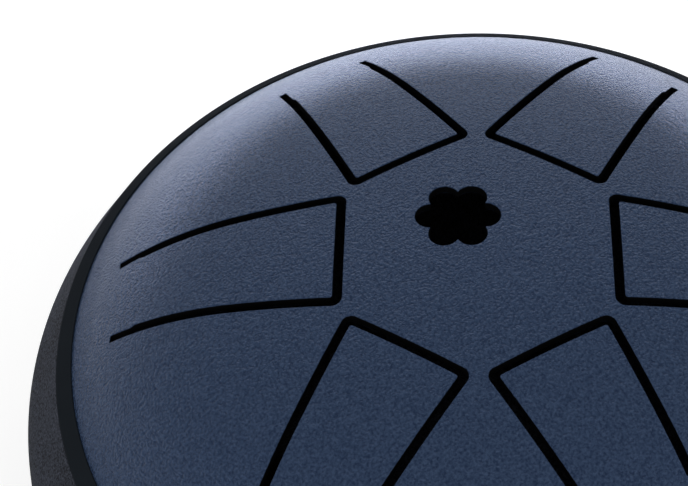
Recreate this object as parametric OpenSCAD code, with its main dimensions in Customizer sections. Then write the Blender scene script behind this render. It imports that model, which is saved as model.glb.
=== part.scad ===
// Small steel tongue drum: a domed steel sheet with six tongues on a moulded resonator body.
// The origin is under the crown, on the surface that the drum stands on.
// +Z points up and +Y points from the drum's axis to its sound hole.
// Lengths are in millimetres and angles in degrees.

/* [Steel shell] */
// Thickness of the steel sheet
sheet = 1.5; // [1.2:0.1:1.8]
// Outside radius of the arc over the crown
crown_arc_r = 130; // [122:1:140]
// Distance from the axis at which the crown's arc runs into the shoulder's
shoulder_start_r = 36.4; // [34:0.2:39]
// Outside radius of the arc over the shoulder
shoulder_arc_r = 51; // [48:0.5:56]
// Radius of the steel's visible edge
edge_r = 60.8; // [59:0.2:62]
// Inside radius of the bend that turns the edge down
bend_r = 0.6; // [0.4:0.1:0.9]
// Height of the straight skirt below that bend
skirt_h = 8; // [6.5:0.5:9.5]

/* [Tongues] */
// Distance from the drum's axis to the tips of the tongues
tip_r = 20.3; // [19.5:0.1:22]
// Width of a tongue at its tip
tip_w = 17.2; // [15:0.1:18]
// Angle by which each side slit closes in towards the tongue's root
slit_taper = 4.6; // [2:0.2:7]
// Distance from the axis at which the longest tongue's slits end
longest_reach = 53.5; // [50:0.5:55]
// Width of the slits
slit_w = 1.4; // [1:0.1:1.8]
// Width of the last stretch of a side slit, which is flush with the slit's outer side
slit_end_w = 1.05; // [0.8:0.05:1.2]
// Length of that narrower stretch
slit_end_l = 3.2; // [2:0.2:5]

/* [Sound hole] */
// Radius of each of the hole's lobes, one towards each tongue
lobe_r = 2.25; // [1.8:0.05:2.7]
// Distance from the drum's axis to the middle of the hole
hole_offset = 5.5; // [3:0.5:8]

/* [Rim seal] */
// Width of the band that the seal shows between the steel and the body
band_w = 2.3; // [1.9:0.1:3]
// Fall of that band from its inner edge to its outer one
band_fall = 1.2; // [0.8:0.1:1.6]
// Height of the seal's outer side
seal_side_h = 0.4; // [0.3:0.1:0.6]
// Thickness of the limb that hangs between the skirt and the collar
seal_limb_t = 1; // [0.8:0.1:1.2]
// Height of that limb
seal_limb_h = 4.5; // [3:0.5:6]

/* [Bonding bead] */
// Thickness of the adhesive under the skirt
bead_t = 1; // [0.6:0.1:1.4]
// Width of the adhesive between the skirt and the collar's upstand
bead_w = 1; // [0.7:0.1:1.3]
// Height to which the adhesive rises inside the skirt
bead_rise = 2.5; // [1.5:0.1:3]

/* [Collar] */
// Height of the crease under the seal above the seam round the body
collar_h = 16; // [15:0.1:18]
// How far the seam, the widest place, stands out beyond the crease
collar_flare = 6.9; // [6:0.1:7.8]
// Outside radius of the arc that rounds the widest place
belly_arc_r = 16.5; // [14:0.5:17.5]
// Wall thickness of the collar and the bowl
wall = 2.6; // [2.2:0.1:3]
// Thickness of the shelf that carries the steel, and of its ribs
shelf_t = 2; // [1.6:0.1:2.4]
// Height of the upstand inside the skirt
upstand_h = 4; // [3.5:0.5:6]

/* [Bowl] */
// Height from the flat base up to the seam
bowl_h = 37.5; // [34:0.5:44]
// Radius of the flat base
base_r = 43; // [41.5:0.5:47]
// Height of the spigot that stands up inside the collar
spigot_h = 3; // [2:0.5:3.5]
// Radius of each screw boss
boss_r = 4.5; // [3.8:0.1:5.2]
// Depth of a pilot hole beyond its screw's point
pilot_spare = 1; // [0.5:0.1:1.5]
// Plastic left over the blind end of each pilot hole
boss_cap = 1.6; // [1.2:0.1:2.5]

/* [Feet] */
// Distance from the drum's axis to the middle of a foot
foot_place_r = 33; // [31:0.5:34]
// Radius of a foot where it seats in the base
foot_r = 7; // [6.6:0.1:7.6]
// Radius of a foot's face on the ground
foot_face_r = 6; // [5.4:0.1:6.4]
// Radius of the rounded edge round that face
foot_edge_r = 0.8; // [0.4:0.1:1.2]
// How far a foot stands out below the base
foot_drop = 4; // [3.4:0.2:6]
// Depth of the recess that seats a foot
foot_seat_d = 1; // [0.6:0.1:1.4]

/* [Screws and washers] */
// Radius of a screw's shank
screw_r = 1.6; // [1.4:0.1:1.8]
// Length of a screw under its head
screw_l = 12; // [10:0.5:14]
// Length of the screw's point
screw_point_l = 2; // [1.5:0.1:2.5]
// Radius of the pan head
head_r = 3; // [2.7:0.1:3.3]
// Height of the pan head
head_h = 1.8; // [1.5:0.1:2.1]
// How far the head lies above the ground
head_sink = 0.6; // [0.4:0.1:0.9]
// Width of the arms of the head's cross recess
cross_w = 0.9; // [0.7:0.1:1.1]
// Outside radius of a washer
washer_r = 3.6; // [3.4:0.1:4]
// Thickness of a washer
washer_t = 0.8; // [0.6:0.1:1]

/* [Hidden] */
$fn = 96;

// Gap left between pieces that seat on each other
fit_gap = 0.05;
// Length by which a cut runs past what it cuts
overrun = 1;

// One tongue for each share, clockwise from the one beyond the sound hole.
// A share is of the longest reach, and a shorter tongue sounds higher.
reach_shares = [0.908, 0.95, 0.93, 0.872, 0.978, 1];
tongue_count = len(reach_shares);
tongue_step = 360 / tongue_count;
first_tongue = 90;
// Number of straight steps round each outer slit corner
corner_steps = 5;
// Depths and heights taken from the sizes of the piece that carries them
cross_depth_share = 0.6;
cross_length_share = 1.3;
point_end_share = 0.15;

// Directions, measured from straight up, in which each arc of the steel's section ends
shoulder_angle = asin(shoulder_start_r / crown_arc_r);
shoulder_x = shoulder_start_r - shoulder_arc_r * sin(shoulder_angle);
edge_angle = asin((edge_r - shoulder_x) / shoulder_arc_r);
crown_drop = crown_arc_r * (1 - cos(shoulder_angle));
edge_drop = crown_drop + shoulder_arc_r * (cos(shoulder_angle) - cos(edge_angle));

// Heights, from the ground up
base_z = foot_drop;
seam_z = base_z + bowl_h;
crease_z = seam_z + collar_h;
lip_z = crease_z - seal_side_h;
edge_z = crease_z + band_fall;
crown_z = edge_z + edge_drop;
shoulder_z = crown_z - crown_drop - shoulder_arc_r * cos(shoulder_angle);

// The steel's bend and skirt
bend_out_r = bend_r + sheet;
bend_x = edge_r - bend_out_r * sin(edge_angle);
bend_z = edge_z - bend_out_r * cos(edge_angle);
skirt_out_r = bend_x + bend_out_r;
skirt_in_r = skirt_out_r - sheet;
skirt_z = bend_z - skirt_h;

// The collar's outer face: an arc at the seam and a straight flank that is tangent to it
crease_r = edge_r + band_w;
belly_r = crease_r + collar_flare;
belly_x = belly_r - belly_arc_r;
crease_reach = norm([crease_r - belly_x, collar_h]);
flank_angle = atan2(collar_h, crease_r - belly_x) - acos(belly_arc_r / crease_reach);
flank_lip_r = crease_r + seal_side_h * tan(flank_angle);

// The collar's pocket, shelf and upstand
pocket_r = skirt_out_r + 3 * fit_gap + seal_limb_t;
shelf_z = skirt_z - bead_t - 2 * fit_gap;
upstand_out_r = skirt_in_r - bead_w - 2 * fit_gap;
upstand_in_r = upstand_out_r - shelf_t;

// The bowl's outer face: an arc, upright at the seam, down to the edge of the base
bowl_in = belly_r - base_r;
bowl_arc_r = (bowl_h * bowl_h + bowl_in * bowl_in) / (2 * bowl_in);
bowl_x = belly_r - bowl_arc_r;
spigot_out_r = belly_r - wall / 2;
spigot_in_r = belly_r - wall + 2 * fit_gap;

// Feet, washers and screws, stacked from the ground up
foot_count = 4;
seat_z = base_z + foot_seat_d;
head_z = head_sink + head_h;
washer_z = head_z + washer_t;
counterbore_r = washer_r + fit_gap;
screw_hole_r = screw_r + fit_gap;
pilot_z = head_z + screw_l + pilot_spare;
boss_z = pilot_z + boss_cap;
foot_step = 360 / foot_count;

// A rectangle between two corners
module box_section(low, high) {
    translate(low) square(high - low);
}

// The part of a disc that lies in a rectangle
module disc_section(centre, r, low, high) {
    intersection() {
        translate(centre) circle(r = r);
        box_section(low, high);
    }
}

// Everything under the steel's outer face, inset from it: crown, shoulder, bend and skirt
module steel_fill(inset, bottom_z) {
    crown_end = (crown_arc_r - inset) * sin(shoulder_angle);
    shoulder_end = shoulder_x + (shoulder_arc_r - inset) * sin(edge_angle);
    disc_section(
        [0, crown_z - crown_arc_r], crown_arc_r - inset,
        [0, bottom_z], [crown_end, crown_z + overrun]
    );
    disc_section(
        [shoulder_x, shoulder_z], shoulder_arc_r - inset,
        [0, bottom_z], [shoulder_end, crown_z]
    );
    disc_section(
        [bend_x, bend_z], bend_out_r - inset,
        [0, bend_z], [edge_r + bend_out_r, crown_z]
    );
    box_section([0, bottom_z], [skirt_out_r - inset, bend_z]);
}

module steel_section() {
    difference() {
        steel_fill(0, skirt_z);
        steel_fill(sheet, skirt_z - overrun);
    }
}

// Outline of one tongue's slit: along one side, round the tip and along the other side.
// The tongue points inwards along -X, from its root to its tip.
module slit_outline(reach) {
    run = (reach - tip_r) / cos(slit_taper);
    step = slit_w - slit_end_w;
    function along(side, away, distance) = [
        tip_r + distance * cos(slit_taper) + away * sin(slit_taper),
        side * (tip_w / 2 - distance * sin(slit_taper) + away * cos(slit_taper))
    ];
    function corner(side, away) = [
        for (i = [0:corner_steps])
            let (turn = 90 - slit_taper + i * (90 + slit_taper) / corner_steps)
            [tip_r + away * cos(turn), side * (tip_w / 2 + away * sin(turn))]
    ];
    function inner_side(side) = [
        along(side, step, run),
        along(side, step, run - slit_end_l),
        along(side, 0, run - slit_end_l),
        along(side, 0, 0)
    ];
    far_corner = corner(-1, slit_w);
    near_inner = inner_side(1);
    polygon(concat(
        [along(1, slit_w, run)],
        corner(1, slit_w),
        [for (i = [corner_steps:-1:0]) far_corner[i]],
        [along(-1, slit_w, run)],
        inner_side(-1),
        [for (i = [len(near_inner) - 1:-1:0]) near_inner[i]]
    ));
}

// A plain rosette: a ring of discs of radius r, one towards each tongue, and a disc in the middle
// that reaches their centres
module rosette(r) {
    ring_r = r / tan(tongue_step / 2);
    circle(r = ring_r);
    for (i = [0:tongue_count - 1]) {
        rotate(first_tongue - i * tongue_step) translate([ring_r, 0]) circle(r = r);
    }
}

// A cutter that stands through the dome from below the steel's edge to above its crown
module through_dome() {
    translate([0, 0, bend_z]) linear_extrude(crown_z - bend_z + overrun) children();
}

module tongue_shell() {
    color("#3a4a63") difference() {
        rotate_extrude() steel_section();
        for (i = [0:tongue_count - 1]) {
            rotate(first_tongue - i * tongue_step)
                through_dome() slit_outline(longest_reach * reach_shares[i]);
        }
        translate([0, hole_offset, 0]) through_dome() rosette(lobe_r);
    }
}

// Sloped band over the joint, with a limb that hangs between the skirt and the collar
module rim_seal() {
    limb_in_r = skirt_out_r + 2 * fit_gap;
    limb_out_r = pocket_r - fit_gap;
    seal_z = lip_z + fit_gap;
    color("#1c1d1f") rotate_extrude() {
        difference() {
            polygon([
                [bend_x, bend_z],
                [edge_r, edge_z],
                [crease_r, crease_z],
                [crease_r + (crease_z - seal_z) * tan(flank_angle), seal_z],
                [limb_out_r, seal_z],
                [limb_out_r, lip_z - seal_limb_h],
                [limb_in_r, lip_z - seal_limb_h],
                [limb_in_r, bend_z]
            ]);
            translate([bend_x, bend_z]) circle(r = bend_out_r + fit_gap);
        }
    }
}

// Adhesive in the collar's groove, under the skirt and up its inner side
module bond_bead() {
    color("#8b8f92") rotate_extrude() polygon([
        [upstand_out_r + fit_gap, shelf_z + fit_gap],
        [pocket_r - fit_gap, shelf_z + fit_gap],
        [pocket_r - fit_gap, skirt_z - fit_gap],
        [skirt_in_r - fit_gap, skirt_z - fit_gap],
        [skirt_in_r - fit_gap, skirt_z + bead_rise],
        [upstand_out_r + fit_gap, skirt_z + bead_rise]
    ]);
}

// Everything inside the collar's outer face, inset from it: the arc at the seam and the straight
// flank above it
module collar_fill(inset, low_z, high_z) {
    r = belly_arc_r - inset;
    tangent = [belly_x + r * cos(flank_angle), seam_z + r * sin(flank_angle)];
    disc_section([belly_x, seam_z], r, [belly_x, low_z], [belly_r + overrun, high_z]);
    polygon([
        [belly_x, seam_z],
        tangent,
        [tangent.x - (high_z - tangent.y) * tan(flank_angle), high_z],
        [belly_x, high_z]
    ]);
}

// Outer wall of the collar, cut back to the pocket and halved where the spigot stands
module collar_wall() {
    difference() {
        collar_fill(0, seam_z, lip_z);
        collar_fill(wall, seam_z - overrun, lip_z + overrun);
        box_section([belly_x - overrun, seam_z - overrun], [pocket_r, lip_z + overrun]);
        box_section(
            [belly_x - overrun, seam_z - overrun],
            [spigot_out_r, seam_z + spigot_h + fit_gap]
        );
    }
}

// Rib that hangs from the lip and carries the shelf
module collar_rib() {
    rib_out_r = pocket_r + shelf_t;
    meet_z = lip_z - (rib_out_r - flank_lip_r + wall / 2) / tan(flank_angle);
    polygon([
        [pocket_r, shelf_z - shelf_t],
        [rib_out_r, shelf_z - shelf_t],
        [rib_out_r, meet_z],
        [flank_lip_r, lip_z],
        [pocket_r, lip_z]
    ]);
}

module collar() {
    color("#3c4045") rotate_extrude() {
        collar_wall();
        collar_rib();
        box_section([upstand_in_r, shelf_z - shelf_t], [pocket_r, shelf_z]);
        box_section([upstand_in_r, shelf_z], [upstand_out_r, shelf_z + upstand_h]);
    }
}

// The bowl's filled section, inset from its outer face and base
module bowl_section(inset, top_z) {
    intersection() {
        union() {
            translate([bowl_x, seam_z]) circle(r = bowl_arc_r - inset);
            box_section([0, base_z], [bowl_x, top_z]);
        }
        box_section([0, base_z + inset], [belly_r + overrun, top_z]);
    }
}

// Places one child at each foot
module at_foot(i) {
    rotate(foot_step / 2 + i * foot_step) translate([foot_place_r, 0, 0]) children();
}

module bowl() {
    color("#33363b") difference() {
        union() {
            rotate_extrude() {
                difference() {
                    bowl_section(0, seam_z);
                    bowl_section(wall, seam_z + overrun);
                }
                box_section(
                    [spigot_in_r, seam_z - spigot_h],
                    [spigot_out_r - fit_gap, seam_z + spigot_h]
                );
            }
            for (i = [0:foot_count - 1]) {
                at_foot(i) translate([0, 0, base_z + wall / 2])
                    cylinder(r = boss_r, h = boss_z - base_z - wall / 2);
            }
        }
        for (i = [0:foot_count - 1]) {
            at_foot(i) {
                translate([0, 0, base_z - overrun])
                    cylinder(r = foot_r + fit_gap, h = foot_seat_d + overrun);
                cylinder(r = screw_hole_r, h = pilot_z);
            }
        }
    }
}

// Rubber foot with a counterbore for its washer and screw
module foot(i) {
    top_z = seat_z - fit_gap;
    edge_x = foot_face_r - foot_edge_r;
    color("#141414") at_foot(i) rotate_extrude() {
        difference() {
            union() {
                polygon([
                    [screw_hole_r, 0],
                    [edge_x, 0],
                    [foot_face_r, foot_edge_r],
                    [foot_r, base_z],
                    [foot_r, top_z],
                    [screw_hole_r, top_z]
                ]);
                translate([edge_x, foot_edge_r]) circle(r = foot_edge_r);
            }
            box_section([0, -overrun], [counterbore_r, washer_z + fit_gap]);
        }
    }
}

module foot_washer(i) {
    color("#b8bbbf") at_foot(i) translate([0, 0, head_z]) difference() {
        cylinder(r = washer_r, h = washer_t);
        translate([0, 0, -overrun]) cylinder(r = screw_hole_r, h = washer_t + 2 * overrun);
    }
}

// Self-tapping screw with a pan head and a cross recess
module foot_screw(i) {
    shank_top = head_z + screw_l - screw_point_l;
    recess = head_h * cross_depth_share;
    arm = head_r * cross_length_share;
    color("#c9ccd0") at_foot(i) difference() {
        union() {
            translate([0, 0, head_sink]) cylinder(r = head_r, h = head_h - fit_gap);
            translate([0, 0, head_sink + recess]) cylinder(r = screw_r, h = shank_top - head_sink - recess);
            translate([0, 0, shank_top])
                cylinder(r1 = screw_r, r2 = screw_r * point_end_share, h = screw_point_l);
        }
        for (turn = [0, 90]) {
            rotate(turn) translate([-arm / 2, -cross_w / 2, head_sink - overrun])
                cube([arm, cross_w, recess + overrun]);
        }
    }
}

tongue_shell();
rim_seal();
bond_bead();
collar();
bowl();
foot(0);  // foot_1
foot(1);  // foot_2
foot(2);  // foot_3
foot(3);  // foot_4
foot_washer(0);  // foot_washer_1
foot_washer(1);  // foot_washer_2
foot_washer(2);  // foot_washer_3
foot_washer(3);  // foot_washer_4
foot_screw(0);  // foot_screw_1
foot_screw(1);  // foot_screw_2
foot_screw(2);  // foot_screw_3
foot_screw(3);  // foot_screw_4
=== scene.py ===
import math

import bmesh
import bpy
from mathutils import Matrix, Vector
from mathutils.geometry import delaunay_2d_cdt
from mathutils.kdtree import KDTree


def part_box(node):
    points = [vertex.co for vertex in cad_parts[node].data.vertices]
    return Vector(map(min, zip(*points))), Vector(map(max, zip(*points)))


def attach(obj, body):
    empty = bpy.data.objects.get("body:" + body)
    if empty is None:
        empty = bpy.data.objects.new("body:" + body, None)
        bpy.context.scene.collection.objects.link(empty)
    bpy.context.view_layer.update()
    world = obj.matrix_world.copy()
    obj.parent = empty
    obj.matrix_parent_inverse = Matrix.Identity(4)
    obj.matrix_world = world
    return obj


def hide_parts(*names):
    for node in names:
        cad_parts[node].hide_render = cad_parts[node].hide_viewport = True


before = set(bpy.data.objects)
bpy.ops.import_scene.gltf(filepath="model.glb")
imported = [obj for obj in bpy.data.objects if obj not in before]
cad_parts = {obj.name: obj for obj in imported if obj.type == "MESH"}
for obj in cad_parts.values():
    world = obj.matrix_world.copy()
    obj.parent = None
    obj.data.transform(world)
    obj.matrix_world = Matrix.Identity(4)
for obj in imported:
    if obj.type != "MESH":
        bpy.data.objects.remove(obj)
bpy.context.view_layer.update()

scene = bpy.context.scene
mm = 0.001

# Camera, first of all: the photograph's place, aim and slight tilt
cameraSet = {
    "place": (-86.51, -145.80, 289.64),
    "aim": (-9.977, 23.472, 60.0),
    "tilt": -4.658,  # degrees round the lens axis
    "lens": 100.13,
    "sensor": 36,
    "nearest": 0.01,  # metres
    "furthest": 20,
}

cameraPlace = Vector(cameraSet["place"]) * mm
cameraAim = Vector(cameraSet["aim"]) * mm
lookAlong = (cameraAim - cameraPlace).to_track_quat("-Z", "Y").to_matrix().to_4x4()
photoCamera = bpy.data.objects.new("photoCamera", bpy.data.cameras.new("photoCamera"))
photoCamera.data.lens = cameraSet["lens"]
photoCamera.data.sensor_width = cameraSet["sensor"]
photoCamera.data.clip_start = cameraSet["nearest"]
photoCamera.data.clip_end = cameraSet["furthest"]
photoCamera.matrix_world = (
    Matrix.Translation(cameraPlace)
    @ lookAlong
    @ Matrix.Rotation(math.radians(cameraSet["tilt"]), 4, "Z")
)
scene.collection.objects.link(photoCamera)
scene.camera = photoCamera
scene.view_settings.view_transform = "Standard"
print("camera set")


# Node helpers
def addNode(tree, kind, settings=None, inputs=None):
    node = tree.nodes.new(kind)
    for name, value in (settings or {}).items():
        setattr(node, name, value)
    for key, value in (inputs or {}).items():
        if isinstance(value, bpy.types.NodeSocket):
            tree.links.new(value, node.inputs[key])
        else:
            node.inputs[key].default_value = value
    return node


def linearColour(hexColour):
    channels = [int(hexColour[i:i + 2], 16) / 255 for i in (1, 3, 5)]
    linear = [c / 12.92 if c <= 0.04045 else ((c + 0.055) / 1.055) ** 2.4 for c in channels]
    return (*linear, 1)


def newMaterial(name):
    material = bpy.data.materials.new(name)
    material.use_nodes = True
    material.node_tree.nodes.clear()
    return material, material.node_tree


# Ends a material: the reliefs, each with its depth in millimetres, and the shader
def endMaterial(material, reliefs, values):
    tree, under = material.node_tree, {}
    for height, depth in reliefs:
        values["Normal"] = addNode(
            tree, "ShaderNodeBump", {},
            {"Height": height, "Distance": depth * mm, **under},
        ).outputs["Normal"]
        under = {"Normal": values["Normal"]}
    shader = addNode(tree, "ShaderNodeBsdfPrincipled", {}, values)
    addNode(tree, "ShaderNodeOutputMaterial", {}, {"Surface": shader.outputs["BSDF"]})
    return material


def newTree(name, inputs):
    tree = bpy.data.node_groups.new(name, "GeometryNodeTree")
    for label, kind in {"Geometry": "Geometry", **inputs}.items():
        tree.interface.new_socket(label, in_out="INPUT", socket_type="NodeSocket" + kind)
    tree.interface.new_socket("Geometry", in_out="OUTPUT", socket_type="NodeSocketGeometry")
    return tree, addNode(tree, "NodeGroupInput").outputs


# Ends a tree: plain geometry, then each finish on its faces
def endTree(tree, geometry, finishes):
    last = addNode(tree, "GeometryNodeRealizeInstances", {}, {"Geometry": geometry})
    for finish, where in finishes:
        last = addNode(
            tree, "GeometryNodeSetMaterial", {},
            {"Geometry": last.outputs["Geometry"], "Material": finish, "Selection": where},
        )
    addNode(tree, "NodeGroupOutput", {}, {"Geometry": last.outputs["Geometry"]})
    return tree


def makePlain(piece):
    evaluated = piece.evaluated_get(bpy.context.evaluated_depsgraph_get())
    piece.data = bpy.data.meshes.new_from_object(evaluated)
    piece.modifiers.clear()


def runTree(piece, tree, values):
    modifier = piece.modifiers.new(tree.name, "NODES")
    modifier.node_group = tree
    for item in tree.interface.items_tree:
        if item.in_out == "INPUT" and item.name in values:
            modifier[item.identifier] = values[item.name]
    makePlain(piece)


def meshFrom(name, bm):
    mesh = bpy.data.meshes.new(name)
    bm.to_mesh(mesh)
    bm.free()
    return mesh


def newPiece(name, mesh):
    piece = bpy.data.objects.new(name, mesh)
    scene.collection.objects.link(piece)
    return piece


def finishPiece(piece, nodes, sharpAngle=38):
    piece.data.shade_smooth()
    piece.data.set_sharp_from_angle(angle=math.radians(sharpAngle))
    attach(piece, "root")
    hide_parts(*nodes)
    print(piece.name, len(piece.data.polygons), "faces")


# Finishes. Sizes of grains and spots are in millimetres.
noiseLow, noiseHigh = 0.3, 0.7  # nearly all of a noise's values lie between these

coatLook = {
    "dark": "#22314a",
    "light": "#42536e",
    "grain": 0.4,  # texture of the baked powder, with finer grains in it
    "grainDetail": 1.5,
    "grainHarshness": 0.7,
    "grainHeight": 0.36,
    "flow": 6.0,  # slow waves of an uneven coat
    "flowHeight": 0.03,
    "roughLow": 0.17,
    "roughHigh": 0.26,
    "gloss": 0.8,
    "haze": 0.03,  # light that the texture scatters at a low angle
    "hazeSpread": 0.35,
    "hazeTint": "#86a9f0",
    "glossTint": "#9dbbff",
}


# Fine-texture navy powder coat, baked on steel: a hard grain that breaks up the light into
# sparkle at a low angle and reads as a flat dark blue from above
def powderCoat(look):
    material, tree = newMaterial("navyPowderCoat")
    place = addNode(tree, "ShaderNodeTexCoord").outputs["Object"]
    grain = addNode(
        tree, "ShaderNodeTexNoise", {},
        {"Vector": place, "Scale": 1 / (look["grain"] * mm), "Detail": look["grainDetail"],
         "Roughness": look["grainHarshness"]},
    ).outputs["Fac"]
    flow = addNode(
        tree, "ShaderNodeTexNoise", {},
        {"Vector": place, "Scale": 1 / (look["flow"] * mm), "Detail": 1.0},
    ).outputs["Fac"]
    peaks = addNode(
        tree, "ShaderNodeMapRange", {},
        {"Value": grain, "From Min": noiseLow, "From Max": noiseHigh},
    ).outputs["Result"]
    tone = addNode(
        tree, "ShaderNodeMix", {"data_type": "RGBA"},
        {"Factor": peaks, "A": linearColour(look["dark"]), "B": linearColour(look["light"])},
    ).outputs["Result"]
    rough = addNode(
        tree, "ShaderNodeMapRange", {},
        {"Value": peaks, "To Min": look["roughHigh"], "To Max": look["roughLow"]},
    ).outputs["Result"]
    return endMaterial(
        material, [(flow, look["flowHeight"]), (grain, look["grainHeight"])],
        {"Base Color": tone, "Roughness": rough, "IOR": 1.5,
         "Specular IOR Level": look["gloss"], "Specular Tint": linearColour(look["glossTint"]),
         "Sheen Weight": look["haze"], "Sheen Roughness": look["hazeSpread"],
         "Sheen Tint": linearColour(look["hazeTint"])},
    )


plasticLook = {
    "dark": "#0f1013",
    "light": "#4c515e",
    "shadeLow": 0.33,
    "shadeHigh": 0.67,
    "texture": 0.34,  # pits of the eroded mould
    "textureHarshness": 0.6,
    "textureHeight": 0.34,
    "cloud": 14.0,  # slow change of shade where the plastic flowed
    "clouding": 0.15,
    "roughLow": 0.65,
    "roughHigh": 0.8,
    "gloss": 0.1,
}


# Injection-moulded ABS from a spark-eroded mould: fine dull pits, dark grey, no gloss
def mouldedPlastic(look):
    material, tree = newMaterial("sparkErodedAbs")
    place = addNode(tree, "ShaderNodeTexCoord").outputs["Object"]
    pits = addNode(
        tree, "ShaderNodeTexNoise", {},
        {"Vector": place, "Scale": 1 / (look["texture"] * mm), "Detail": 2.0,
         "Roughness": look["textureHarshness"]},
    ).outputs["Fac"]
    cloud = addNode(
        tree, "ShaderNodeTexNoise", {},
        {"Vector": place, "Scale": 1 / (look["cloud"] * mm), "Detail": 2.0},
    ).outputs["Fac"]
    both = addNode(
        tree, "ShaderNodeMix", {}, {"Factor": look["clouding"], "A": pits, "B": cloud},
    ).outputs["Result"]
    shades = addNode(
        tree, "ShaderNodeMapRange", {},
        {"Value": both, "From Min": look["shadeLow"], "From Max": look["shadeHigh"]},
    ).outputs["Result"]
    tone = addNode(
        tree, "ShaderNodeMix", {"data_type": "RGBA"},
        {"Factor": shades, "A": linearColour(look["dark"]), "B": linearColour(look["light"])},
    ).outputs["Result"]
    rough = addNode(
        tree, "ShaderNodeMapRange", {},
        {"Value": pits, "From Min": noiseLow, "From Max": noiseHigh,
         "To Min": look["roughHigh"], "To Max": look["roughLow"]},
    ).outputs["Result"]
    return endMaterial(
        material, [(pits, look["textureHeight"])],
        {"Base Color": tone, "Roughness": rough, "IOR": 1.53, "Specular IOR Level": look["gloss"]},
    )


# The other finishes have two shades in spots and a relief, each a size and a detail
def plainFinish(name, look):
    material, tree = newMaterial(name)
    place = addNode(tree, "ShaderNodeTexCoord").outputs["Object"]
    spots, relief = [
        addNode(
            tree, "ShaderNodeTexNoise", {},
            {"Vector": place, "Scale": 1 / (size * mm), "Detail": detail},
        ).outputs["Fac"]
        for size, detail in (look["spots"], look["relief"])
    ]
    tone = addNode(
        tree, "ShaderNodeMix", {"data_type": "RGBA"},
        {"Factor": spots, "A": linearColour(look["dark"]), "B": linearColour(look["light"])},
    ).outputs["Result"]
    rough = look["rough"]
    if "roughSpots" in look:
        rough = addNode(
            tree, "ShaderNodeMapRange", {},
            {"Value": spots, "From Min": noiseLow, "From Max": noiseHigh,
             "To Min": rough, "To Max": look["roughSpots"]},
        ).outputs["Result"]
    return endMaterial(
        material, [(relief, look["reliefHeight"])],
        {"Base Color": tone, "Roughness": rough, **look["shader"]},
    )


# Painted shade on the slits' cut walls: near black and dull, standing in for the shade inside the
# narrow slits
slitShadeLook = {
    "dark": "#060607", "light": "#0d0e11", "spots": (0.3, 2.0),
    "relief": (0.3, 2.0), "reliefHeight": 0.01,
    "rough": 0.75, "shader": {"Specular IOR Level": 0.1},
}
# Extruded rubber with a smooth, talc-dull skin: near black from every side
sealLook = {
    "dark": "#1a1f24", "light": "#22272d", "spots": (9.0, 3.0),
    "relief": (0.8, 1.0), "reliefHeight": 0.004,
    "rough": 0.85, "shader": {"IOR": 1.52, "Specular IOR Level": 0.05},
}
# Neutral-cure silicone, run in as a bead: cloudy grey with low ripples
siliconeLook = {
    "dark": "#85898d", "light": "#96999c", "spots": (2.5, 2.0),
    "relief": (2.5, 2.0), "reliefHeight": 0.05,
    "rough": 0.42, "shader": {"IOR": 1.41},
}
# Compression-moulded foot rubber: matt black with a soft crumb, and duller where dust lies
footLook = {
    "dark": "#151515", "light": "#1f1f1e", "spots": (5.0, 2.0),
    "relief": (0.6, 3.0), "reliefHeight": 0.03,
    "rough": 0.7, "roughSpots": 0.85, "shader": {"IOR": 1.5},
}
# Zinc plate over steel: a bright grey metal, slightly blue, with a fine spangle in its gloss
washerLook = {
    "dark": "#a9acb0", "light": "#bcbfc2", "spots": (0.4, 3.0),
    "relief": (0.4, 3.0), "reliefHeight": 0.004,
    "rough": 0.3, "roughSpots": 0.42, "shader": {"Metallic": 1.0},
}
# The same plate on the screws, brighter
screwLook = {
    "dark": "#b4b7bb", "light": "#cbcdd0", "spots": (0.5, 3.0),
    "relief": (0.5, 3.0), "reliefHeight": 0.003,
    "rough": 0.22, "roughSpots": 0.32, "shader": {"Metallic": 1.0},
}

navyPowderCoat = powderCoat(coatLook)
sparkErodedAbs = mouldedPlastic(plasticLook)
# The slits' cut walls get a near-black finish that paints the shade inside the slits
darkCutSteel = plainFinish("darkCutSteel", slitShadeLook)
smoothSealRubber = plainFinish("smoothSealRubber", sealLook)
greySilicone = plainFinish("greySilicone", siliconeLook)
mattFootRubber = plainFinish("mattFootRubber", footLook)
washerZinc = plainFinish("platedWasherZinc", washerLook)
screwZinc = plainFinish("brightScrewZinc", screwLook)
print("finishes made")


# Shape helpers, all in millimetres
def arcPoints(centre, radius, first, last, steps):
    angles = [math.radians(first + (last - first) * i / steps) for i in range(steps + 1)]
    return [(centre[0] + radius * math.cos(a), centre[1] + radius * math.sin(a)) for a in angles]


# Closed section of corners (x, z) or (x, z, rounding)
def roundedSection(corners, steps=4):
    section = []
    for i, corner in enumerate(corners):
        here = Vector(corner[:2])
        rounding = corner[2] if len(corner) > 2 else 0
        if not rounding:
            section.append(tuple(here))
            continue
        back = (Vector(corners[i - 1][:2]) - here).normalized()
        ahead = (Vector(corners[(i + 1) % len(corners)][:2]) - here).normalized()
        half = back.angle(ahead) / 2
        centre = here + (back + ahead).normalized() * rounding / math.sin(half)
        start = here + back * rounding / math.tan(half) - centre
        end = here + ahead * rounding / math.tan(half) - centre
        turn = start.angle_signed(end)
        for k in range(steps + 1):
            section.append(tuple(centre + Matrix.Rotation(-turn * k / steps, 2) @ start))
    return section


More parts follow.
